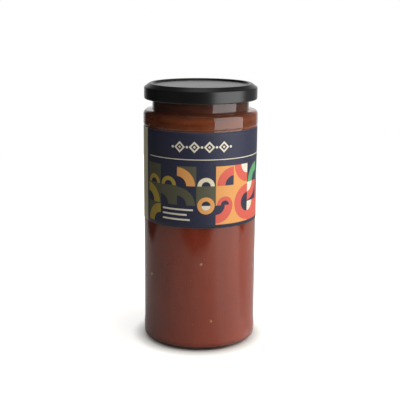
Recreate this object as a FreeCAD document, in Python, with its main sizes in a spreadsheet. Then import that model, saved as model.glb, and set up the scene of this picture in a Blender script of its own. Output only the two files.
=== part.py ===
"""Straight glass jar of tomato passata, shut by a twist-off lid, with a paper label round its body.

Every piece is turned about Z, which is the jar's own axis. The jar stands on the plane z = 0.
"""

import FreeCAD, Part
import math
import os
import re

import Sketcher

# Driving sizes, in millimetres. Each name is a cell of the document's sheet.
SIZES = {
    # glass, heights, from the rim downwards
    "jar_height": 169.8,
    "finish_length": 8.9,
    "finish_flare": 2.4,
    "neck_length": 7.0,
    "shoulder_rise": 0.6,
    "shoulder_bead": 9.3,
    "bead_ramp": 1.0,
    "heel_height": 9.5,
    "heel_ramp": 4.0,
    # glass, radii, from the body inwards
    "panel_radius": 36.9,
    "bead_relief": 0.3,
    "shoulder_step": 5.8,
    "finish_step": 2.3,
    # glass, thickness and roundings
    "wall": 2.5,
    "floor_thickness": 3.2,
    "floor_rounding": 3.0,
    "heel_rounding": 4.0,
    "heel_blend": 14.0,
    "shoulder_rounding": 2.8,
    "rim_rounding": 1.2,
    # foot and push-up
    "foot_width": 2.6,
    "foot_thickness": 2.6,
    "foot_rounding": 1.0,
    "push_up": 2.4,
    "push_up_slope": 5.0,
    # filling
    "headspace": 9.2,
    "fill_gap": 0.05,
    # label
    "label_height": 60.6,
    "label_thickness": 0.2,
    "label_gap": 0.05,
    "label_to_bead": 0.7,
    # lid
    "lid_height": 10.0,
    "lid_sheet": 0.3,
    "lid_seat_gap": 0.25,
    "lid_rim_clearance": 0.12,
    "lid_side_gap": 2.65,
    "lid_bevel_width": 3.5,
    "lid_bevel_drop": 2.5,
    "lid_bevel_rounding": 1.0,
    "lid_ring_width": 1.5,
    "lid_ring_rounding": 0.5,
    "lid_recess": 1.2,
    "lid_recess_slope": 0.9,
    "lid_curl": 1.9,
    "lid_curl_rounding": 0.85,
}

# Heights and radii that follow from the driving sizes.
DERIVED = {
    "neck_top": "jar_height - finish_length",
    "finish_bottom": "neck_top + finish_flare",
    "neck_root": "neck_top - neck_length",
    "shoulder_height": "neck_root - shoulder_rise",
    "bead_start": "shoulder_height - shoulder_bead",
    "bead_radius": "panel_radius + bead_relief",
    "neck_radius": "bead_radius - shoulder_step",
    "finish_radius": "neck_radius + finish_step",
    "foot_radius": "bead_radius - heel_rounding",
    "push_up_radius": "foot_radius - foot_width - push_up_slope",
    "floor_height": "push_up + floor_thickness",
    "inner_radius": "panel_radius - wall",
    "bore_radius": "neck_radius - wall",
    "inner_shoulder": "shoulder_height - wall",
    "fill_level": "jar_height - headspace",
    "label_top": "bead_start - label_to_bead",
    "label_bottom": "label_top - label_height",
    "lid_radius": "finish_radius + lid_side_gap + lid_sheet",
    "lid_ring_radius": "lid_radius - lid_bevel_width",
    "lid_ring_inner": "lid_ring_radius - lid_ring_width",
    "lid_panel_radius": "lid_ring_inner - lid_recess_slope",
    # The lid comes to rest where it first nears the glass rim, which is at the ring's underside, the bevel or
    # the wall of the sunk panel. Each of these seats is the ring's height over the rim there.
    "rim_reach": "rim_rounding + lid_rim_clearance",
    "bevel_tilt": "atan((lid_bevel_drop - lid_sheet / 2) / (lid_bevel_width - lid_sheet * 2 / 3))",
    "bevel_outset": "lid_ring_radius - lid_sheet / 3 - finish_radius + rim_rounding",
    "bevel_seat": "(rim_reach - bevel_outset * sin(bevel_tilt)) / cos(bevel_tilt) - rim_rounding",
    "recess_tilt": "atan(lid_recess / lid_recess_slope)",
    "recess_inset": "finish_radius - wall + rim_rounding - lid_ring_inner - lid_sheet / 2",
    "recess_seat": "(rim_reach - recess_inset * sin(recess_tilt)) / cos(recess_tilt) - rim_rounding",
    "lid_seat": "max(lid_seat_gap; bevel_seat; recess_seat)",
    "lid_top": "jar_height + lid_seat + lid_sheet",
    "lid_bottom": "lid_top - lid_height",
    "lid_panel": "lid_top - lid_recess",
    "lid_bevel_height": "lid_top - lid_bevel_drop",
}

# Ends of a sketch's edges, and its two axes, as the Sketcher numbers them.
START, END = 1, 2
HORIZONTAL_AXIS, VERTICAL_AXIS = -1, -2

document = FreeCAD.newDocument("passata_jar")
sheet = document.addObject("Spreadsheet::Sheet", "Sizes")


def fill_sheet():
    """Writes the driving sizes as plain numbers and the derived ones as formulas, a row each."""
    rows = [(name, str(number)) for name, number in SIZES.items()]
    rows += [(name, "=" + formula) for name, formula in DERIVED.items()]
    for row, (name, content) in enumerate(rows, start=1):
        sheet.set("A%d" % row, name)
        sheet.set("B%d" % row, content)
        sheet.setAlias("B%d" % row, name)
    document.recompute()


def size(formula):
    """The value of a formula of the sheet's names, in millimetres."""
    return float(sheet.evalExpression(formula))


def bound(formula):
    """The same formula as another object reads it, with each name taken from the sheet."""
    return re.sub(r"[a-z_]+", lambda name: "Sizes." + name.group(), formula)


def constrain(sketch, formula, kind, *references):
    """Adds a dimension that is bound to a formula of the sheet's names."""
    index = sketch.addConstraint(Sketcher.Constraint(kind, *references, size(formula)))
    sketch.setExpression("Constraints[%d]" % index, bound(formula))


def pin_down(sketch, corner, geometry, end):
    """Fixes a point of the sketch at the corner's radius and height. "0" puts it on an axis."""
    radius, height = corner[:2]
    if radius == "0":
        sketch.addConstraint(Sketcher.Constraint("PointOnObject", geometry, end, VERTICAL_AXIS))
    else:
        constrain(sketch, radius, "DistanceX", HORIZONTAL_AXIS, START, geometry, end)
    if height == "0":
        sketch.addConstraint(Sketcher.Constraint("PointOnObject", geometry, end, HORIZONTAL_AXIS))
    else:
        constrain(sketch, height, "DistanceY", HORIZONTAL_AXIS, START, geometry, end)


def round_off(before, corner, after, rounding):
    """Where an arc of that rounding leaves the two edges of a corner, and its centre."""
    towards = (before - corner).normalize()
    away = (after - corner).normalize()
    half_angle = towards.getAngle(away) / 2
    reach = rounding / math.tan(half_angle)
    centre = corner + (towards + away).normalize() * (rounding / math.sin(half_angle))
    return corner + towards * reach, corner + away * reach, centre


def add_bend(sketch, begin, finish, centre):
    """Adds the arc from begin to finish. Returns it with the numbers of its ends in that order."""
    first = math.atan2(begin.y - centre.y, begin.x - centre.x)
    last = math.atan2(finish.y - centre.y, finish.x - centre.x)
    circle = Part.Circle(centre, FreeCAD.Vector(0, 0, 1), begin.distanceToPoint(centre))
    if (last - first) % (2 * math.pi) < math.pi:
        return sketch.addGeometry(Part.ArcOfCircle(circle, first, last), False), START, END
    return sketch.addGeometry(Part.ArcOfCircle(circle, last, first), False), END, START


def draw_outline(sketch, corners):
    """Draws a closed outline. A corner is (radius, height), with a third formula to round it."""
    count = len(corners)
    places = [FreeCAD.Vector(size(corner[0]), size(corner[1]), 0) for corner in corners]
    ends = []
    for index, corner in enumerate(corners):
        ends.append((places[index], places[index], None))
        if len(corner) == 3:
            after = places[(index + 1) % count]
            ends[index] = round_off(places[index - 1], places[index], after, size(corner[2]))
    edges = []
    for index in range(count):
        edge = Part.LineSegment(ends[index][1], ends[(index + 1) % count][0])
        edges.append(sketch.addGeometry(edge, False))
    for index, corner in enumerate(corners):
        coming, going = edges[index - 1], edges[index]
        if len(corner) == 2:
            sketch.addConstraint(Sketcher.Constraint("Coincident", coming, END, going, START))
            pin_down(sketch, corner, going, START)
            continue
        bend, first, last = add_bend(sketch, *ends[index])
        sketch.addConstraint(Sketcher.Constraint("Tangent", coming, END, bend, first))
        sketch.addConstraint(Sketcher.Constraint("Tangent", bend, last, going, START))
        constrain(sketch, corner[2], "Radius", bend)
        point = sketch.addGeometry(Part.Point(places[index]), True)
        sketch.addConstraint(Sketcher.Constraint("PointOnObject", point, START, coming))
        sketch.addConstraint(Sketcher.Constraint("PointOnObject", point, START, going))
        pin_down(sketch, corner, point, START)


def turned_body(label, corners):
    """A body made by turning one outline in the XZ plane a full turn about Z."""
    body = document.addObject("PartDesign::Body", label)
    body.Label = label
    planes = [plane for plane in body.Origin.OriginFeatures if plane.Role == "XZ_Plane"]
    sketch = body.newObject("Sketcher::SketchObject", label + "_outline")
    sketch.AttachmentSupport = [(planes[0], "")]
    sketch.MapMode = "FlatFace"
    draw_outline(sketch, corners)
    turn = body.newObject("PartDesign::Revolution", label + "_turn")
    turn.Profile = sketch
    turn.ReferenceAxis = (sketch, ["V_Axis"])
    turn.Angle = 360.0
    body.Placement = FreeCAD.Placement()
    return body


def build_jar():
    """The glass, from the middle of its push-up round the outside to its rim and back inside."""
    base = [
        ("0", "push_up"),
        ("push_up_radius", "push_up", "push_up_slope"),
        ("foot_radius - foot_width", "0", "foot_rounding"),
        ("bead_radius", "0", "heel_rounding"),
    ]
    body = [
        ("bead_radius", "heel_height", "heel_blend"),
        ("panel_radius", "heel_height + heel_ramp", "heel_blend"),
        ("panel_radius", "bead_start"),
        ("bead_radius", "bead_start + bead_ramp"),
        ("bead_radius", "shoulder_height", "shoulder_rounding"),
    ]
    neck = [
        ("neck_radius", "neck_root", "rim_rounding"),
        ("neck_radius", "neck_top", "rim_rounding"),
        ("finish_radius", "finish_bottom", "rim_rounding"),
        ("finish_radius", "jar_height", "rim_rounding"),
        ("finish_radius - wall", "jar_height", "rim_rounding"),
    ]
    inside = [
        ("finish_radius - wall", "finish_bottom", "rim_rounding"),
        ("bore_radius", "neck_top", "rim_rounding"),
        ("bore_radius", "inner_shoulder + shoulder_rise", "rim_rounding"),
        ("inner_radius", "inner_shoulder", "shoulder_rounding"),
        ("inner_radius", "foot_thickness", "floor_rounding"),
        ("foot_radius - foot_width", "foot_thickness", "foot_rounding"),
        ("push_up_radius", "floor_height", "push_up_slope"),
        ("0", "floor_height"),
    ]
    return turned_body("glass_jar", base + body + neck + inside)


def build_filling():
    """The passata, which lies against the glass all over, up to a level inside the neck."""
    neck = "bore_radius - fill_gap"
    side = "inner_radius - fill_gap"
    under_shoulder = "inner_shoulder - fill_gap"
    return turned_body("passata", [
        ("0", "floor_height + fill_gap"),
        ("push_up_radius", "floor_height + fill_gap", "push_up_slope + fill_gap"),
        ("foot_radius - foot_width", "foot_thickness + fill_gap", "foot_rounding - fill_gap"),
        (side, "foot_thickness + fill_gap", "floor_rounding - fill_gap"),
        (side, under_shoulder, "shoulder_rounding - fill_gap"),
        (neck, under_shoulder + " + shoulder_rise", "rim_rounding + fill_gap"),
        (neck, "fill_level"),
        ("0", "fill_level"),
    ])


def build_label():
    """The paper label, wrapped all round the panel between the two beads."""
    paper = "panel_radius + label_gap"
    return turned_body("label", [
        (paper, "label_bottom"),
        (paper + " + label_thickness", "label_bottom"),
        (paper + " + label_thickness", "label_top"),
        (paper, "label_top"),
    ])


def build_lid():
    """The lid: sunk panel, raised ring over the glass rim, bevel, skirt and a rolled-in curl."""
    curl_inside = "lid_radius - lid_curl"
    outside = [
        ("0", "lid_panel"),
        ("lid_panel_radius", "lid_panel", "lid_ring_rounding"),
        ("lid_ring_inner", "lid_top", "lid_ring_rounding"),
        ("lid_ring_radius", "lid_top", "lid_ring_rounding"),
        ("lid_radius", "lid_bevel_height", "lid_bevel_rounding"),
    ]
    curl = [
        ("lid_radius", "lid_bottom", "lid_curl_rounding"),
        (curl_inside, "lid_bottom", "lid_curl_rounding"),
        (curl_inside, "lid_bottom + lid_curl", "lid_curl_rounding"),
        ("lid_radius - lid_sheet", "lid_bottom + lid_curl"),
    ]
    inside = [
        ("lid_radius - lid_sheet", "lid_bevel_height - lid_sheet / 2", "lid_ring_rounding"),
        ("lid_ring_radius - lid_sheet / 3", "lid_top - lid_sheet"),
        ("lid_ring_inner + lid_sheet / 2", "lid_top - lid_sheet"),
        ("lid_panel_radius + lid_sheet / 2", "lid_panel - lid_sheet"),
        ("0", "lid_panel - lid_sheet"),
    ]
    return turned_body("lid", outside + curl + inside)


def check_document(pieces):
    """Stops the script if any feature failed or any piece isn't one valid solid."""
    for feature in document.Objects:
        if "Invalid" in feature.State or "Error" in feature.State:
            raise RuntimeError("failed feature: " + feature.Label)
    for piece in pieces:
        shape = piece.Shape
        if shape.isNull() or not shape.isValid() or len(shape.Solids) != 1:
            raise RuntimeError("not one valid solid: " + piece.Label)


fill_sheet()
pieces = [build_jar(), build_filling(), build_label(), build_lid()]
document.recompute()
check_document(pieces)
os.makedirs("parts", exist_ok=True)
for piece in pieces:
    piece.Shape.exportStep("parts/%s.step" % piece.Label)
    print("%-10s %9.1f mm3" % (piece.Label, piece.Shape.Volume), piece.Shape.BoundBox)
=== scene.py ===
import math
import random

import bpy
from mathutils import Matrix, Vector


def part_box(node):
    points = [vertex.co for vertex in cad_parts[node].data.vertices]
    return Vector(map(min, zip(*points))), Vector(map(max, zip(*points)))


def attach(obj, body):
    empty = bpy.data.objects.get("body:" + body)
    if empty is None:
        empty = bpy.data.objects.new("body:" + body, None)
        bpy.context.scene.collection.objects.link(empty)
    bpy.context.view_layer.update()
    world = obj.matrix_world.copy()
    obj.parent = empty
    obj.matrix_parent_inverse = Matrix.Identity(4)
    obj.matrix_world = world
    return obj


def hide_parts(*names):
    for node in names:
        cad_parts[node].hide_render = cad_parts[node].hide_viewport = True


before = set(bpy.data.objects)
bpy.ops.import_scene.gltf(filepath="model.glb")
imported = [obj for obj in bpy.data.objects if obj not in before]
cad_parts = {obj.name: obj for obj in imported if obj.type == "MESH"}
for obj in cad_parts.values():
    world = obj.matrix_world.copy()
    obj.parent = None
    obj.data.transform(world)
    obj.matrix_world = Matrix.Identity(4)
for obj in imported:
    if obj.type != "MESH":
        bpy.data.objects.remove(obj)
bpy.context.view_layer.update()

MM = 0.001

# The low and high corners of the CAD nodes, which give the outer sizes.
# The sizes of the glass jar and the lid, in millimetres, are the CAD's own.
GLASS_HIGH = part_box("glass_jar")[1]
LID_LOW, LID_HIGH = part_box("lid")
LABEL_LOW, LABEL_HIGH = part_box("label")
FILL_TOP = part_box("passata")[1][2]

# Glass jar.
BEAD_RADIUS = GLASS_HIGH[0]
JAR_TOP = GLASS_HIGH[2]
BEAD_RELIEF = 0.3 * MM
PANEL_RADIUS = BEAD_RADIUS - BEAD_RELIEF
HEEL_HEIGHT = 9.5 * MM
HEEL_RAMP = 4.0 * MM
BEAD_START = 144.0 * MM
BEAD_RAMP = 1.0 * MM
SHOULDER_HEIGHT = 153.3 * MM
SHOULDER_RISE = 0.6 * MM
SHOULDER_STEP = 5.8 * MM
NECK_RADIUS = BEAD_RADIUS - SHOULDER_STEP
NECK_HEIGHT = 7.0 * MM
FINISH_STEP = 2.3 * MM
FINISH_FLARE = 2.4 * MM
WALL = 2.5 * MM
HEEL_ROUNDING = 4.0 * MM
HEEL_BLEND = 14.0 * MM
SHOULDER_ROUNDING = 2.8 * MM
RIM_ROUNDING = 1.2 * MM
FOOT_ROUNDING = 1.0 * MM
FOOT_WIDTH = 2.6 * MM
PUSH_UP = 2.4 * MM
PUSH_UP_SLOPE = 5.0 * MM
FOOT_THICKNESS = 2.6 * MM
FLOOR_THICKNESS = 3.2 * MM
FLOOR_HEIGHT = PUSH_UP + FLOOR_THICKNESS
FLOOR_ROUNDING = 3.0 * MM

# Only the looks have these: the rounding at the bead's ramp, the knurled ring under the foot,
# and how far the filling reaches into the wall of the glass.
BEAD_BLEND = 1.0 * MM
KNURL_DEPTH = 0.12 * MM
KNURL_COUNT = 90
INTO_WALL = 0.25 * MM

# The looks' paper: one layer's thickness, the space under it and the length of its glued overlap.
PAPER = 0.09 * MM
PAPER_STANDOFF = 0.06 * MM
PAPER_SEAM = 8.0 * MM

# Lid.
LID_BEVEL_WIDTH = 3.5 * MM
LID_BEVEL_DROP = 2.5 * MM
LID_RING_WIDTH = 1.5 * MM
LID_RECESS = 1.2 * MM
LID_RECESS_SLOPE = 0.9 * MM
LID_SHEET = 0.3 * MM
LID_CURL = 1.9 * MM

TURNS = 360
ARC_STEPS = 10


# ---------------------------------------------------------------- shapes

def rounded_outline(corners):
    """(radius, height, normal radius, normal height) along an outline whose corners are rounded."""
    points = []
    last = len(corners) - 1
    for i, (radius, height, rounding) in enumerate(corners):
        here = Vector((radius, height))
        before = (here - Vector(corners[i - 1][:2])).normalized() if i > 0 else None
        after = (Vector(corners[i + 1][:2]) - here).normalized() if i < last else None
        if before is None or after is None:
            along = after if before is None else before
            points.append((radius, height, along.y, -along.x))
            continue
        turn = math.atan2(before.x * after.y - before.y * after.x, before.dot(after))
        side = 1.0 if turn > 0 else -1.0
        start = here - before * rounding * math.tan(abs(turn) / 2)
        normal = Vector((before.y, -before.x))
        centre = start - normal * rounding * side
        for step in range(ARC_STEPS + 1):
            spun = Matrix.Rotation(turn * step / ARC_STEPS, 2) @ normal
            place = centre + spun * rounding * side
            points.append((place.x, place.y, spun.x, spun.y))
    return points


def new_object(name, verts, faces, normals=None):
    """A smooth mesh object, with a normal for each vertex where they are given."""
    mesh = bpy.data.meshes.new(name)
    mesh.from_pydata(verts, [], faces)
    mesh.polygons.foreach_set("use_smooth", [True] * len(mesh.polygons))
    if normals:
        mesh.normals_split_custom_set_from_vertices(normals)
    mesh.update()
    piece = bpy.data.objects.new(name, mesh)
    bpy.context.collection.objects.link(piece)
    return piece


def lathe(name, outline, shape=None):
    """Turns an outline round +Z. Its ends lie on the axis; shape may move a point up or down."""
    verts, normals, rows = [], [], []
    for radius, height, out, up in outline:
        if radius < 1e-7:
            rows.append([len(verts)] * TURNS)
            verts.append((0.0, 0.0, height))
            normals.append((0.0, 0.0, up))
            continue
        row = []
        for k in range(TURNS):
            angle = 2 * math.pi * k / TURNS
            z = height if shape is None else shape(height, up, angle)
            row.append(len(verts))
            verts.append((radius * math.cos(angle), radius * math.sin(angle), z))
            normals.append((out * math.cos(angle), out * math.sin(angle), up))
        rows.append(row)
    faces = []
    for lower, upper in zip(rows, rows[1:]):
        for k in range(TURNS):
            n = (k + 1) % TURNS
            ring = [lower[k], lower[n], upper[n], upper[k]]
            face = [v for i, v in enumerate(ring) if v not in ring[:i]]
            if len(face) > 2:
                faces.append(face)
    return new_object(name, verts, faces, normals)


def glass_outline():
    foot = BEAD_RADIUS - HEEL_ROUNDING - FOOT_WIDTH
    finish = NECK_RADIUS + FINISH_STEP
    neck_root = SHOULDER_HEIGHT + SHOULDER_RISE
    neck_top = neck_root + NECK_HEIGHT
    finish_bottom = neck_top + FINISH_FLARE
    inner = PANEL_RADIUS - WALL
    bore = NECK_RADIUS - WALL
    inner_shoulder = SHOULDER_HEIGHT - WALL
    return rounded_outline([
        (0.0, PUSH_UP, 0.0),
        (foot - PUSH_UP_SLOPE, PUSH_UP, PUSH_UP_SLOPE),
        (foot, 0.0, FOOT_ROUNDING),
        (BEAD_RADIUS, 0.0, HEEL_ROUNDING),
        (BEAD_RADIUS, HEEL_HEIGHT, HEEL_BLEND),
        (PANEL_RADIUS, HEEL_HEIGHT + HEEL_RAMP, HEEL_BLEND),
        (PANEL_RADIUS, BEAD_START, BEAD_BLEND),
        (BEAD_RADIUS, BEAD_START + BEAD_RAMP, BEAD_BLEND),
        (BEAD_RADIUS, SHOULDER_HEIGHT, SHOULDER_ROUNDING),
        (NECK_RADIUS, neck_root, RIM_ROUNDING),
        (NECK_RADIUS, neck_top, RIM_ROUNDING),
        (finish, finish_bottom, RIM_ROUNDING),
        (finish, JAR_TOP, RIM_ROUNDING),
        (finish - WALL, JAR_TOP, RIM_ROUNDING),
        (finish - WALL, finish_bottom, RIM_ROUNDING),
        (bore, neck_top, RIM_ROUNDING),
        (bore, inner_shoulder + SHOULDER_RISE, RIM_ROUNDING),
        (inner, inner_shoulder, SHOULDER_ROUNDING),
        (inner, FOOT_THICKNESS, FLOOR_ROUNDING),
        (foot, FOOT_THICKNESS, FOOT_ROUNDING),
        (foot - PUSH_UP_SLOPE, FLOOR_HEIGHT, PUSH_UP_SLOPE),
        (0.0, FLOOR_HEIGHT, 0.0),
    ])


def knurled_foot(height, up, angle):
    """The height of a point of the glass, with a knurled ring cut into the underside of the foot."""
    faces_down = -0.95
    lowest_part = 0.3 * MM
    on_foot = up < faces_down and height < lowest_part
    if on_foot:
        height += KNURL_DEPTH * (0.5 - 0.5 * math.cos(angle * KNURL_COUNT))
    return height


def filling_outline():
    foot = BEAD_RADIUS - HEEL_ROUNDING - FOOT_WIDTH
    inner = PANEL_RADIUS - WALL + INTO_WALL
    bore = NECK_RADIUS - WALL + INTO_WALL
    inner_shoulder = SHOULDER_HEIGHT - WALL + INTO_WALL
    edge = 0.3 * MM
    return rounded_outline([
        (0.0, FLOOR_HEIGHT - INTO_WALL, 0.0),
        (foot - PUSH_UP_SLOPE, FLOOR_HEIGHT - INTO_WALL, PUSH_UP_SLOPE),
        (foot, FOOT_THICKNESS - INTO_WALL, FOOT_ROUNDING),
        (inner, FOOT_THICKNESS - INTO_WALL, FLOOR_ROUNDING),
        (inner, inner_shoulder, SHOULDER_ROUNDING),
        (bore, inner_shoulder + SHOULDER_RISE, RIM_ROUNDING),
        (bore, FILL_TOP, edge),
        (0.0, FILL_TOP, 0.0),
    ])


def lid_outline():
    outer = LID_HIGH[0]
    top = LID_HIGH[2]
    bottom = LID_LOW[2]
    ring = outer - LID_BEVEL_WIDTH
    ring_inner = ring - LID_RING_WIDTH
    panel = ring_inner - LID_RECESS_SLOPE
    curl = LID_CURL / 2 - 0.1 * MM
    corner = 0.5 * MM
    edge = 1.0 * MM
    under = 0.1 * MM
    return rounded_outline([
        (0.0, top - LID_RECESS - LID_SHEET, 0.0),
        (panel + under, top - LID_RECESS - LID_SHEET, corner),
        (ring_inner + under, top - LID_SHEET, corner / 2),
        (ring - under, top - LID_SHEET, corner / 2),
        (outer - LID_SHEET, top - LID_BEVEL_DROP - under, corner),
        (outer - LID_SHEET, bottom + LID_CURL, corner / 5),
        (outer - LID_CURL, bottom + LID_CURL, curl / 2),
        (outer - LID_CURL, bottom, curl),
        (outer, bottom, curl),
        (outer, top - LID_BEVEL_DROP, edge),
        (ring, top, corner),
        (ring_inner, top, corner),
        (panel, top - LID_RECESS, corner),
        (0.0, top - LID_RECESS, 0.0),
    ])


def label_wrap():
    """One strip of paper wound once round the jar and lapped over itself at the back."""
    bottom, top = LABEL_LOW[2], LABEL_HIGH[2]
    base = PANEL_RADIUS + PAPER_STANDOFF
    lap = PAPER_SEAM / base
    steps = 400
    rows = 24
    start = math.pi / 2
    verts, faces = [], []
    for side in (0, 1):
        for k in range(steps + 1):
            angle = start + (2 * math.pi + lap) * k / steps
            over = (angle - start - 2 * math.pi + lap / 2) / (lap / 2)
            lift = PAPER * min(max(over, 0.0), 1.0)
            for j in range(rows + 1):
                z = bottom + (top - bottom) * j / rows
                r = base + lift + PAPER * side
                verts.append((r * math.cos(angle), r * math.sin(angle), z))
    layer = (steps + 1) * (rows + 1)

    def at(side, k, j):
        return side * layer + k * (rows + 1) + j

    for k in range(steps):
        for j in range(rows):
            faces.append([at(1, k, j), at(1, k + 1, j), at(1, k + 1, j + 1), at(1, k, j + 1)])
            faces.append([at(0, k, j + 1), at(0, k + 1, j + 1), at(0, k + 1, j), at(0, k, j)])
        faces.append([at(0, k, 0), at(0, k + 1, 0), at(1, k + 1, 0), at(1, k, 0)])
        faces.append([at(1, k, rows), at(1, k + 1, rows), at(0, k + 1, rows), at(0, k, rows)])
    for j in range(rows):
        faces.append([at(1, 0, j), at(1, 0, j + 1), at(0, 0, j + 1), at(0, 0, j)])
        faces.append([at(0, steps, j), at(0, steps, j + 1), at(1, steps, j + 1), at(1, steps, j)])
    piece = new_object("label_paper", verts, faces)
    for face in piece.data.polygons:
        is_cut_edge = abs(face.normal.z) > 0.5
        face.use_smooth = not is_cut_edge
    return piece


def scatter(name, spots, shape):
    """Small flat bodies pressed against the inside of the wall: (angle, height, spin, size) each."""
    verts, faces = [], []
    across, around = 8, 12
    surface = PANEL_RADIUS - WALL + INTO_WALL
    for angle, height, spin, size in spots:
        first = len(verts)
        out = Vector((math.sin(angle), -math.cos(angle), 0.0))
        side = Vector((math.cos(angle), math.sin(angle), 0.0))
        rise = Vector((0.0, 0.0, 1.0))
        for i in range(across + 1):
            polar = math.pi * i / across
            for k in range(around):
                turn = 2 * math.pi * k / around
                length, width, depth = shape(polar, turn, size)
                x = length * math.cos(spin) - width * math.sin(spin)
                z = length * math.sin(spin) + width * math.cos(spin)
                centre = out * surface + rise * height
                verts.append(centre + side * x + rise * z + out * depth)
        for i in range(across):
            for k in range(around):
                n = (k + 1) % around
                a = first + i * around
                b = a + around
                faces.append([a + k, a + n, b + n, b + k])
    return new_object(name, [tuple(v) for v in verts], faces)


def seed_shape(polar, turn, size):
    """A flat drop, narrower towards one end."""
    pinch = 1.0 - 0.35 * math.cos(polar)
    length = 1.35 * size * math.cos(polar)
    width = 0.85 * size * math.sin(polar) * pinch * math.cos(turn)
    depth = 0.22 * size * math.sin(polar) * math.sin(turn)
    return length, width, depth


def fleck_shape(polar, turn, size):
    """A thin shred of skin with three lobes, turned differently for each size."""
    lobes, phase = 3, size * 9000
    ragged = 1.0 + 0.3 * math.sin(lobes * turn + phase)
    length = size * math.cos(polar)
    width = 0.6 * size * math.sin(polar) * math.cos(turn) * ragged
    depth = 0.08 * size * math.sin(polar) * math.sin(turn)
    return length, width, depth


# ---------------------------------------------------------------- nodes

class Nodes:
    """Short calls that add and link a tree's nodes."""

    def __init__(self, tree):
        self.tree = tree
        tree.nodes.clear()

    def add(self, kind, inputs=None, **settings):
        node = self.tree.nodes.new(kind)
        for key, value in settings.items():
            setattr(node, key, value)
        for key, value in (inputs or {}).items():
            self.put(node.inputs[key], value)
        return node

    def put(self, socket, value):
        """Links a node's output to the socket, or sets a plain value on it."""
        if isinstance(value, bpy.types.NodeSocket):
            self.tree.links.new(value, socket)
        else:
            socket.default_value = value

    def math(self, operation, a, b=0.0, c=0.0):
        return self.add("ShaderNodeMath", {0: a, 1: b, 2: c}, operation=operation).outputs[0]

    def mix(self, share, a, b):
        node = self.add("ShaderNodeMix", {0: share, 6: a, 7: b}, data_type="RGBA")
        return node.outputs[2]

    def noise(self, vector, scale, detail=3.0, rough=0.55):
        inputs = {"Vector": vector, "Scale": scale, "Detail": detail, "Roughness": rough}
        return self.add("ShaderNodeTexNoise", inputs).outputs["Fac"]

    def span(self, value, low, high, to_low=0.0, to_high=1.0):
        """Runs from to_low to to_high while the value runs from low to high, and stays there beyond."""
        inputs = {"Value": value, "From Min": low, "From Max": high, "To Min": to_low, "To Max": to_high}
        return self.add("ShaderNodeMapRange", inputs).outputs[0]

    def inside(self, value, low, high):
        above = self.math("GREATER_THAN", value, low)
        below = self.math("LESS_THAN", value, high)
        return self.math("MULTIPLY", above, below)

    def invert(self, share):
        return self.math("SUBTRACT", 1.0, share)

    def both(self, *shares):
        out = shares[0]
        for share in shares[1:]:
            out = self.math("MULTIPLY", out, share)
        return out

    def either(self, *shares):
        out = shares[0]
        for share in shares[1:]:
            out = self.math("MAXIMUM", out, share)
        return out

    def bump(self, height, distance, strength=1.0):
        inputs = {"Height": height, "Distance": distance, "Strength": strength}
        return self.add("ShaderNodeBump", inputs).outputs[0]

    def millimetres(self):
        """The place on the object, in millimetres."""
        where = self.add("ShaderNodeTexCoord").outputs["Object"]
        inputs = {0: where, "Scale": 1 / MM}
        return self.add("ShaderNodeVectorMath", inputs, operation="SCALE").outputs[0]

    def principled(self, **inputs):
        named = {key.replace("_", " "): value for key, value in inputs.items()}
        return self.add("ShaderNodeBsdfPrincipled", named)

    def output(self, shader, kind="ShaderNodeOutputMaterial"):
        self.add(kind, {"Surface": shader})


def new_material(name):
    material = bpy.data.materials.new(name)
    material.use_nodes = True
    return material, Nodes(material.node_tree)


def colour(red, green, blue):
    """A colour given as it looks on screen, 0 to 255, turned to linear light."""
    def linear(level):
        share = level / 255
        return share / 12.92 if share <= 0.04045 else ((share + 0.055) / 1.055) ** 2.4
    return linear(red), linear(green), linear(blue), 1.0


# ---------------------------------------------------------------- materials

def glass_material():
    material, n = new_material("clear_glass")
    place = n.millimetres()
    relief_depth = 0.12 * MM
    ripple = n.noise(place, scale=0.06, detail=2.0)
    from_seam = n.math("ABSOLUTE", n.add("ShaderNodeSeparateXYZ", {0: place}).outputs[1])
    mould_seam = n.span(from_seam, 0.0, 0.4, 0.25, 0.0)
    relief = n.math("ADD", ripple, mould_seam)
    glass = n.principled(
        Base_Color=(0.97, 0.99, 0.98, 1.0), Roughness=0.01, IOR=1.5,
        Transmission_Weight=1.0, Normal=n.bump(relief, relief_depth, 0.5))
    # Light passes the wall tinted by its thickness, so lamps reach the passata without caustics.
    edge_on = n.add("ShaderNodeLayerWeight", {"Blend": 0.5}).outputs["Facing"]
    shade = n.mix(n.span(edge_on, 0.35, 1.0), (0.95, 0.97, 0.96, 1.0), (0.30, 0.27, 0.27, 1.0))
    clear = n.add("ShaderNodeBsdfTransparent", {"Color": shade})
    shadow = n.add("ShaderNodeLightPath").outputs["Is Shadow Ray"]
    both = n.add("ShaderNodeMixShader", {0: shadow, 1: glass.outputs[0], 2: clear.outputs[0]})
    n.output(both.outputs[0])
    return material


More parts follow.
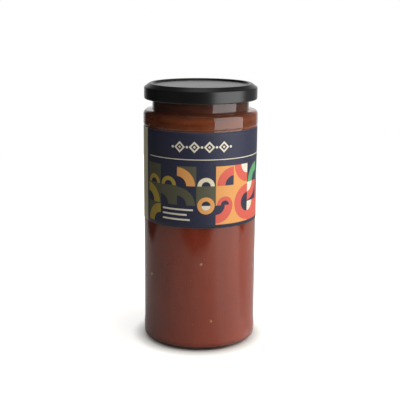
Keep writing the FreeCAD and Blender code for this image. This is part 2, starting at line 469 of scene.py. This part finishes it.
def passata_material():
    material, n = new_material("passata_sauce")
    place = n.millimetres()
    stretch = n.add("ShaderNodeMapping", {"Vector": place, "Scale": (1.0, 1.0, 0.55)}).outputs[0]
    cloud = n.span(n.noise(stretch, scale=0.09, detail=4.0), 0.3, 0.7)
    pulp = n.span(n.noise(place, scale=0.9, detail=5.0, rough=0.65), 0.35, 0.68)
    grain = n.noise(place, scale=3.5)
    shade = n.math("MULTIPLY_ADD", cloud, 0.45, n.math("MULTIPLY", pulp, 0.55))
    # The colour is redder low down and browner behind the label and above.
    height = n.add("ShaderNodeSeparateXYZ", {0: place}).outputs[2]
    high_up = n.span(height, 80.0, 140.0)
    dark = n.mix(high_up, colour(124, 46, 25), colour(113, 54, 25))
    light = n.mix(high_up, colour(152, 65, 42), colour(140, 72, 41))
    body = n.mix(shade, dark, light)
    speck = n.span(grain, 0.62, 0.75)
    body = n.mix(n.math("MULTIPLY", speck, 0.35), body, colour(150, 88, 46))
    # Level streaks from the bead up, and a ring of painted shade in the neck under the lid, greyed as a
    # painted hazy reflection.
    bead = BEAD_START / MM
    shoulder = SHOULDER_HEIGHT / MM
    smear = n.add("ShaderNodeMapping", {"Vector": place, "Scale": (0.3, 0.3, 1.5)}).outputs[0]
    streak = n.span(n.noise(smear, scale=0.22, detail=4.0), 0.42, 0.62)
    from_bead = n.span(height, bead - 2.0, bead + 3.0, 0.0, 0.5)
    body = n.mix(n.both(streak, from_bead), body, colour(72, 33, 19))
    painted_neck_shade = n.span(height, shoulder - 4.0, shoulder - 0.6, 0.0, 0.58)
    # Painted shade and painted reflection: the sauce turns a dark grey-brown in the neck, where the lid
    # shades it.
    body = n.mix(painted_neck_shade, body, colour(64, 48, 44))
    pulp_depth = 0.15 * MM
    sauce = n.principled(
        Base_Color=body, Roughness=0.55, Specular_IOR_Level=0.06,
        Normal=n.bump(pulp, pulp_depth, 0.3))
    n.output(sauce.outputs[0])
    return material


def seed_material():
    material, n = new_material("tomato_seed")
    mottle = n.noise(n.millimetres(), scale=2.2)
    body = n.mix(mottle, colour(176, 120, 52), colour(214, 170, 96))
    seed = n.principled(Base_Color=body, Roughness=0.5, Specular_IOR_Level=0.1)
    n.output(seed.outputs[0])
    return material


def fleck_material():
    material, n = new_material("tomato_skin")
    mottle = n.noise(n.millimetres(), scale=1.6)
    body = n.mix(mottle, colour(66, 20, 12), colour(128, 42, 22))
    skin = n.principled(Base_Color=body, Roughness=0.5, Specular_IOR_Level=0.1)
    n.output(skin.outputs[0])
    return material


def lid_material():
    material, n = new_material("black_lacquer")
    place = n.millimetres()
    peel_depth = 0.02 * MM
    peel = n.noise(place, scale=1.1, detail=2.0)
    fine = n.noise(place, scale=6.0)
    rub = n.add("ShaderNodeMapping", {"Vector": place, "Scale": (0.35, 0.35, 4.0)}).outputs[0]
    scuff = n.span(n.noise(rub, scale=1.4, detail=4.0), 0.62, 0.8)
    body = n.mix(scuff, colour(19, 19, 20), colour(34, 34, 35))
    rough = n.math("MULTIPLY_ADD", fine, 0.1, 0.24)
    rough = n.math("MULTIPLY_ADD", scuff, 0.12, rough)
    lacquer = n.principled(
        Base_Color=body, Roughness=rough, Specular_IOR_Level=0.5,
        Normal=n.bump(peel, peel_depth, 0.35))
    n.output(lacquer.outputs[0])
    return material


def stepped(n, value, colours):
    """A ramp of plain colours with hard steps, each as wide as the next."""
    node = n.add("ShaderNodeValToRGB", {0: value})
    node.color_ramp.interpolation = "CONSTANT"
    stops = node.color_ramp.elements
    while len(stops) < len(colours):
        stops.new(1.0)
    for i, tint in enumerate(colours):
        stops[i].position = i / len(colours)
        stops[i].color = tint
    return node.outputs[0]


NAVY = colour(22, 27, 54)
CREAM = colour(206, 197, 168)
OFF_WHITE = colour(208, 201, 184)
OLIVE = colour(74, 74, 56)
GREEN = colour(84, 146, 100)
OCHRE = colour(158, 134, 48)
AMBER = colour(206, 144, 78)
CORAL = colour(194, 82, 68)
BACK_PAPER = colour(192, 184, 152)

# The printed front panel, as distances round the jar from the middle of the front, in millimetres.
FRONT_LEFT = -42.0
FRONT_RIGHT = 60.0
TILE = 12.4
QUILT_LEFT = FRONT_LEFT + 2.4
QUILT_RIGHT = FRONT_RIGHT - 0.4
QUILT_BOTTOM = 2.2
QUILT_ROWS = 3
# Two tiles' places in the lowest row are left for the plain rules.
NOTE = (QUILT_LEFT + TILE, QUILT_LEFT + 3 * TILE)


def quilt(n, along, rise):
    """Rows of tiles, each with a quarter or half round in it, of colours that warm from left to right."""
    across = n.math("DIVIDE", n.math("SUBTRACT", along, QUILT_LEFT), TILE)
    down = n.math("DIVIDE", n.math("SUBTRACT", rise, QUILT_BOTTOM), TILE)
    column, row, choice = n.math("FLOOR", across), n.math("FLOOR", down), 3.0
    cell = n.add("ShaderNodeCombineXYZ", {0: column, 1: row, 2: choice}).outputs[0]
    dice = n.add("ShaderNodeTexWhiteNoise", {"Vector": cell}, noise_dimensions="3D")
    split = n.add("ShaderNodeSeparateColor", {0: dice.outputs["Color"]})
    red, green, blue = split.outputs[0], split.outputs[1], split.outputs[2]
    u = n.math("FRACT", across)
    v = n.math("FRACT", down)
    flip_u = n.math("GREATER_THAN", red, 0.5)
    flip_v = n.math("GREATER_THAN", green, 0.5)
    u = n.math("ABSOLUTE", n.math("SUBTRACT", u, flip_u))
    v = n.math("ABSOLUTE", n.math("SUBTRACT", v, flip_v))
    half = n.math("MULTIPLY", n.math("GREATER_THAN", blue, 0.6), 0.5)
    du = n.math("SUBTRACT", u, half)
    reach = n.math("SQRT", n.math("ADD", n.math("MULTIPLY", du, du), n.math("MULTIPLY", v, v)))
    size = n.math("SUBTRACT", 0.94, half)
    disc = n.math("LESS_THAN", reach, size)
    core = n.math("LESS_THAN", reach, n.math("MULTIPLY", size, 0.52))
    columns = (FRONT_RIGHT - QUILT_LEFT) / TILE
    warmth = n.math("DIVIDE", n.math("ADD", column, 0.5), columns)
    pick = n.math("FRACT", n.math("MULTIPLY", n.math("ADD", red, blue), 1.7))
    tone = n.math("ADD", warmth, n.math("MULTIPLY_ADD", pick, 0.26, -0.13))
    tone = n.math("MAXIMUM", n.math("MINIMUM", tone, 0.99), 0.0)
    tints = [OLIVE, OCHRE, OLIVE, CREAM, AMBER, AMBER, CORAL, CORAL, GREEN, CORAL]
    shape = stepped(n, tone, tints)
    other = stepped(n, n.math("MAXIMUM", n.math("SUBTRACT", tone, 0.2), 0.0), tints)
    ground = n.mix(n.math("GREATER_THAN", pick, 0.55), NAVY, other)
    drawn = n.mix(disc, ground, shape)
    drawn = n.mix(core, drawn, n.mix(n.math("GREATER_THAN", green, 0.62), NAVY, OFF_WHITE))
    blank = n.both(n.inside(along, *NOTE), n.math("LESS_THAN", rise, QUILT_BOTTOM + TILE))
    here = n.both(
        n.inside(along, QUILT_LEFT, QUILT_RIGHT),
        n.inside(rise, QUILT_BOTTOM, QUILT_BOTTOM + TILE * QUILT_ROWS),
        n.invert(blank))
    return drawn, here


def ornament(n, along, rise):
    """A chain of diamonds with beads between, a thin rule under it, and three short plain rules."""
    middle, centre, pitch, reach = 1.0, 51.5, 9.4, 18.8
    half_width, half_height, bead = 3.5, 3.6, 0.8
    from_middle = n.math("SUBTRACT", along, middle)
    from_centre = n.math("ABSOLUTE", n.math("SUBTRACT", rise, centre))
    turn = n.math("FRACT", n.math("DIVIDE", from_middle, pitch))
    step = n.math("ABSOLUTE", n.math("MULTIPLY", n.math("SUBTRACT", turn, 0.5), pitch))
    slant = n.math("ADD", n.math("DIVIDE", step, half_width), n.math("DIVIDE", from_centre, half_height))
    ring = n.inside(slant, 0.6, 1.0)
    heart = n.math("LESS_THAN", slant, 0.26)
    gap = n.math("SUBTRACT", pitch / 2, step)
    radius = n.math("SQRT", n.math("MULTIPLY_ADD", gap, gap, n.math("MULTIPLY", from_centre, from_centre)))
    chain = n.either(ring, heart, n.math("LESS_THAN", radius, bead))
    chain = n.both(chain, n.inside(from_middle, -reach - bead, reach + bead))
    long_rule = n.both(n.inside(rise, 43.4, 43.9), n.inside(along, FRONT_LEFT + 4, FRONT_RIGHT - 4))
    drawn = n.either(chain, long_rule)
    left, highest, spacing, thick = NOTE[0] + 1.8, 11.2, 3.2, 1.1
    for row, length in enumerate((21.0, 17.0, 19.0)):
        low = highest - spacing * row
        line = n.both(n.inside(rise, low, low + thick), n.inside(along, left, left + length))
        drawn = n.either(drawn, line)
    return drawn


def back_panel(n, along, rise):
    """Plain paper with thin rules in a box on either side of the back."""
    round_back = n.math("ABSOLUTE", along)
    spacing, thick = 3.2, 0.09
    ruled = n.math("LESS_THAN", n.math("FRACT", n.math("DIVIDE", rise, spacing)), thick)
    rules = n.both(ruled, n.inside(round_back, 76.0, 112.0), n.inside(rise, 14.0, 50.0))
    box_edge = n.both(
        n.inside(round_back, 74.0, 114.0), n.inside(rise, 11.0, 53.0),
        n.invert(n.both(n.inside(round_back, 74.4, 113.6), n.inside(rise, 11.4, 52.6))))
    return n.mix(n.either(rules, box_edge), BACK_PAPER, OLIVE)


def label_material():
    material, n = new_material("label_print")
    place = n.millimetres()
    axes = n.add("ShaderNodeSeparateXYZ", {0: place})
    angle = n.math("ARCTAN2", axes.outputs[0], n.math("MULTIPLY", axes.outputs[1], -1.0))
    along = n.math("MULTIPLY", angle, (PANEL_RADIUS + 2 * PAPER) / MM)
    rise = n.math("SUBTRACT", axes.outputs[2], LABEL_LOW[2] / MM)
    front = n.inside(along, FRONT_LEFT, FRONT_RIGHT)
    tiles, in_quilt = quilt(n, along, rise)
    ink = n.mix(in_quilt, NAVY, tiles)
    ink = n.mix(ornament(n, along, rise), ink, OFF_WHITE)
    ink = n.mix(front, back_panel(n, along, rise), ink)
    fibre = n.noise(place, scale=2.4, detail=5.0, rough=0.7)
    ink = n.mix(n.span(fibre, 0.3, 0.8, 0.0, 0.06), ink, OFF_WHITE)
    height = (LABEL_HIGH[2] - LABEL_LOW[2]) / MM
    worn = n.math("MULTIPLY", n.noise(place, scale=0.8), 0.5)
    at_bottom = n.math("LESS_THAN", rise, worn)
    at_top = n.math("GREATER_THAN", rise, n.math("SUBTRACT", height, worn))
    ink = n.mix(n.math("MULTIPLY", n.either(at_bottom, at_top), 0.12), ink, OFF_WHITE)
    fibre_depth = 0.03 * MM
    paper = n.principled(
        Base_Color=ink, Roughness=n.math("MULTIPLY_ADD", fibre, 0.2, 0.38), Specular_IOR_Level=0.24,
        Normal=n.bump(fibre, fibre_depth, 0.4))
    n.output(paper.outputs[0])
    return material


# ---------------------------------------------------------------- pieces

def fit(piece, material, slot, *nodes):
    piece.data.materials.append(material)
    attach(piece, "root")
    if nodes:
        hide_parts(*nodes)


def make_pieces():
    dice = random.Random(11)
    fit(lathe("jar_glass", glass_outline(), knurled_foot), glass_material(), "glass", "glass_jar")
    fit(lathe("passata_fill", filling_outline()), passata_material(), "passata", "passata")
    fit(lathe("lid_shell", lid_outline()), lid_material(), "lid", "lid")
    fit(label_wrap(), label_material(), "label", "label")
    # The seeds that the photo shows: (degrees to the right of the front, height, spin, size).
    shown = [(1.6, 58.8, 0.5, 0.72), (12.4, 20.4, 1.9, 0.62), (-60.0, 47.0, 1.2, 0.8)]
    seeds = [(math.radians(angle), height * MM, spin, size * MM) for angle, height, spin, size in shown]
    # The rest are guesses, and keep off the front.
    for _ in range(26):
        angle = dice.uniform(0.35 * math.pi, 1.65 * math.pi)
        height = dice.uniform(16, 146) * MM
        spin = dice.uniform(0, math.pi)
        seeds.append((angle, height, spin, dice.uniform(0.55, 0.95) * MM))
    fit(scatter("passata_seeds", seeds, seed_shape), seed_material(), "passata")
    flecks = []
    for _ in range(150):
        angle = dice.uniform(0, 2 * math.pi)
        height = dice.uniform(15, 147) * MM
        spin = dice.uniform(0, math.pi)
        flecks.append((angle, height, spin, dice.uniform(0.3, 0.9) * MM))
    fit(scatter("passata_flecks", flecks, fleck_shape), fleck_material(), "passata")


# ---------------------------------------------------------------- surroundings

def soft_lamp(name, place, aim, width, height, radiance, shows):
    """A rectangular lamp whose face has that radiance. The camera never sees it."""
    lamp = bpy.data.lights.new(name, "AREA")
    lamp.shape = "RECTANGLE"
    lamp.size = width
    lamp.size_y = height
    lamp.energy = math.pi * width * height * radiance
    holder = bpy.data.objects.new(name, lamp)
    bpy.context.collection.objects.link(holder)
    holder.location = place
    holder.rotation_euler = (aim - place).to_track_quat("-Z", "Y").to_euler()
    holder.visible_camera = False
    holder.visible_glossy = shows
    holder.visible_transmission = shows


def side_lamp(name, azimuth, distance, low, width, height, radiance, shows=True):
    """A lamp facing the jar, azimuth degrees to the right of the front, with its lower edge at low."""
    turn = math.radians(azimuth)
    place = Vector((math.sin(turn) * distance, -math.cos(turn) * distance, low + height / 2))
    soft_lamp(name, place, Vector((0.0, 0.0, place.z)), width, height, radiance, shows)


def make_lamps():
    side_lamp(
        "softbox_right", azimuth=59.0, distance=0.52, low=0.005,
        width=0.64, height=0.66, radiance=3.35)
    side_lamp(
        "fill_front", azimuth=12.0, distance=1.6, low=0.25,
        width=1.3, height=1.3, radiance=0.85, shows=False)
    side_lamp(
        "fill_back", azimuth=185.0, distance=1.5, low=0.2,
        width=1.2, height=1.2, radiance=1.1, shows=False)
    overhead = Vector((0.35, 0.0, 1.3))
    below = Vector((0.35, 0.0, 0.0))
    soft_lamp("overhead", overhead, below, width=1.4, height=1.4, radiance=2.3, shows=False)


WHITE = (1.0, 1.0, 1.0, 1.0)


def seen_plainly(n, path):
    """1 for what the camera sees, straight or through glass, and 0 for light on its way to the object."""
    no_bounce = n.math("LESS_THAN", path.outputs["Diffuse Depth"], 0.5)
    return n.either(path.outputs["Is Camera Ray"], n.both(path.outputs["Is Transmission Ray"], no_bounce))


def make_world():
    world = bpy.data.worlds.new("studio")
    bpy.context.scene.world = world
    world.use_nodes = True
    n = Nodes(world.node_tree)
    direction = n.add("ShaderNodeSeparateXYZ", {0: n.add("ShaderNodeTexCoord").outputs["Generated"]})
    # What gloss mirrors: a white backdrop behind the jar, a grey wall on the right and a pale ceiling.
    behind = n.span(direction.outputs[1], 0.78, 0.98)
    low = n.span(direction.outputs[2], 0.35, 0.8, 1.0, 0.0)
    right_wall = n.span(direction.outputs[0], 0.2, 0.6, 0.03, 0.2)
    ceiling = n.span(direction.outputs[2], 0.92, 0.985, 0.0, 1.0)
    backdrop_level = 0.95
    mirrored = n.math("MULTIPLY_ADD", n.both(behind, low), backdrop_level, n.math("ADD", right_wall, ceiling))
    gloss = n.add("ShaderNodeBackground", {0: WHITE, 1: mirrored})
    ambient = n.add("ShaderNodeBackground", {0: WHITE, 1: 0.09})
    seen = n.add("ShaderNodeBackground", {0: WHITE, 1: 1.0})
    path = n.add("ShaderNodeLightPath")
    is_gloss = path.outputs["Is Glossy Ray"]
    lit = n.add("ShaderNodeMixShader", {0: is_gloss, 1: ambient.outputs[0], 2: gloss.outputs[0]})
    whole = n.add("ShaderNodeMixShader", {0: seen_plainly(n, path), 1: lit.outputs[0], 2: seen.outputs[0]})
    n.output(whole.outputs[0], "ShaderNodeOutputWorld")


def sector(n, place, far, azimuth, half_width):
    """0 in the middle of a sector of the table, 1 at its edges and more outside it."""
    turn = math.radians(azimuth)
    ahead_of = {0: place, 1: (math.sin(turn), -math.cos(turn), 0.0)}
    aside_of = {0: place, 1: (math.cos(turn), math.sin(turn), 0.0)}
    ahead = n.add("ShaderNodeVectorMath", ahead_of, operation="DOT_PRODUCT").outputs["Value"]
    aside = n.add("ShaderNodeVectorMath", aside_of, operation="DOT_PRODUCT").outputs["Value"]
    sideways = n.math("ABSOLUTE", n.math("DIVIDE", aside, far))
    well_outside = 9.0
    opposite = n.math("MULTIPLY", n.math("LESS_THAN", ahead, 0.0), well_outside)
    return n.math("ADD", n.math("DIVIDE", sideways, math.sin(math.radians(half_width))), opposite)


def painted_dark_reflections(n, place, far):
    """How dark the table's painted reflection is: 0.9 on dark patches painted round it, in place of dark
    things out of view.
    """
    # (azimuth, half width in degrees, distance of the round inner end's centre in millimetres)
    dark_patches = [(-7.0, 32.0, 380.0), (92.0, 14.0, 430.0), (-112.0, 20.0, 390.0)]
    round_end = 120.0
    wobble = n.math("MULTIPLY_ADD", n.noise(place, scale=0.012), 60.0, -30.0)
    dark = 0.0
    for azimuth, half_width, reach in dark_patches:
        short = n.math("DIVIDE", n.math("SUBTRACT", n.math("ADD", wobble, reach), far), round_end)
        short = n.math("POWER", n.math("MAXIMUM", short, 0.0), 2.0)
        aside = n.math("POWER", sector(n, place, far, azimuth, half_width), 2.0)
        away = n.math("SQRT", n.math("ADD", aside, short))
        dark = n.math("MAXIMUM", dark, n.span(away, 0.85, 1.15, 0.9, 0.0))
    return dark


def floor_material():
    material, n = new_material("pale_table")
    place = n.millimetres()
    path = n.add("ShaderNodeLightPath")
    far = n.add("ShaderNodeVectorMath", {0: place}, operation="LENGTH").outputs["Value"]
    grain = n.noise(place, scale=0.4)
    tint = n.mix(grain, colour(186, 183, 176), colour(190, 187, 180))
    # Gloss sees the table with a painted pool of light: it is painted brighter on the softbox's side.
    painted_light_pool = n.span(sector(n, place, far, azimuth=56.0, half_width=30.0), 0.7, 1.1, 1.0, 0.0)
    painted_gloss_tint = n.mix(painted_light_pool, colour(200, 197, 193), colour(255, 251, 246))
    # Painted reflection: dark patches on the table that only gloss sees.
    painted_gloss_tint = n.mix(painted_dark_reflections(n, place, far), painted_gloss_tint, colour(20, 20, 20))
    tint = n.mix(path.outputs["Is Glossy Ray"], tint, painted_gloss_tint)
    matt = n.add("ShaderNodeBsdfDiffuse", {"Color": tint})
    # The glow makes the table white in the picture only. It is low close to the foot, which adds a painted
    # contact shadow to the real shadow round the base.
    # Painted shade: less glow within a few millimetres of the foot.
    glow_dimmed_at_foot = n.span(far, 35.0, 46.0, 0.06, 0.68)
    glow_level = n.math("ADD", glow_dimmed_at_foot, n.span(far, 46.0, 200.0, 0.0, 0.32))
    strength = n.math("MULTIPLY", seen_plainly(n, path), glow_level)
    glow = n.add("ShaderNodeEmission", {"Color": WHITE, "Strength": strength})
    total = n.add("ShaderNodeAddShader", {0: matt.outputs[0], 1: glow.outputs[0]})
    n.output(total.outputs[0])
    return material


def make_floor():
    """A round pale table."""
    radius = 0.7
    corners = 96
    angles = [2 * math.pi * k / corners for k in range(corners)]
    verts = [(radius * math.cos(angle), radius * math.sin(angle), 0.0) for angle in angles]
    floor = new_object("floor", verts, [list(range(corners))])
    floor.data.materials.append(floor_material())


def make_camera():
    """The camera that the fit to the photo's outline gave. Pitch and roll are in radians."""
    place = (0.0, -0.5770, 0.22507)
    pitch = 0.2256
    roll = 0.0071
    camera = bpy.data.cameras.new("camera")
    camera.sensor_width = 36.0
    camera.lens = 80.16
    camera.clip_start = 0.01
    holder = bpy.data.objects.new("camera", camera)
    bpy.context.collection.objects.link(holder)
    ahead = Vector((0.0, math.cos(pitch), -math.sin(pitch)))
    level = Vector((1.0, 0.0, 0.0))
    upright = Vector((0.0, math.sin(pitch), math.cos(pitch)))
    right = level * math.cos(roll) + upright * math.sin(roll)
    top = upright * math.cos(roll) - level * math.sin(roll)
    turned = Matrix((right, top, -ahead)).transposed().to_4x4()
    holder.matrix_world = Matrix.Translation(place) @ turned
    bpy.context.scene.camera = holder


make_camera()
make_world()
make_lamps()
make_floor()
make_pieces()
bpy.context.scene.view_settings.view_transform = "Standard"
bpy.context.view_layer.update()
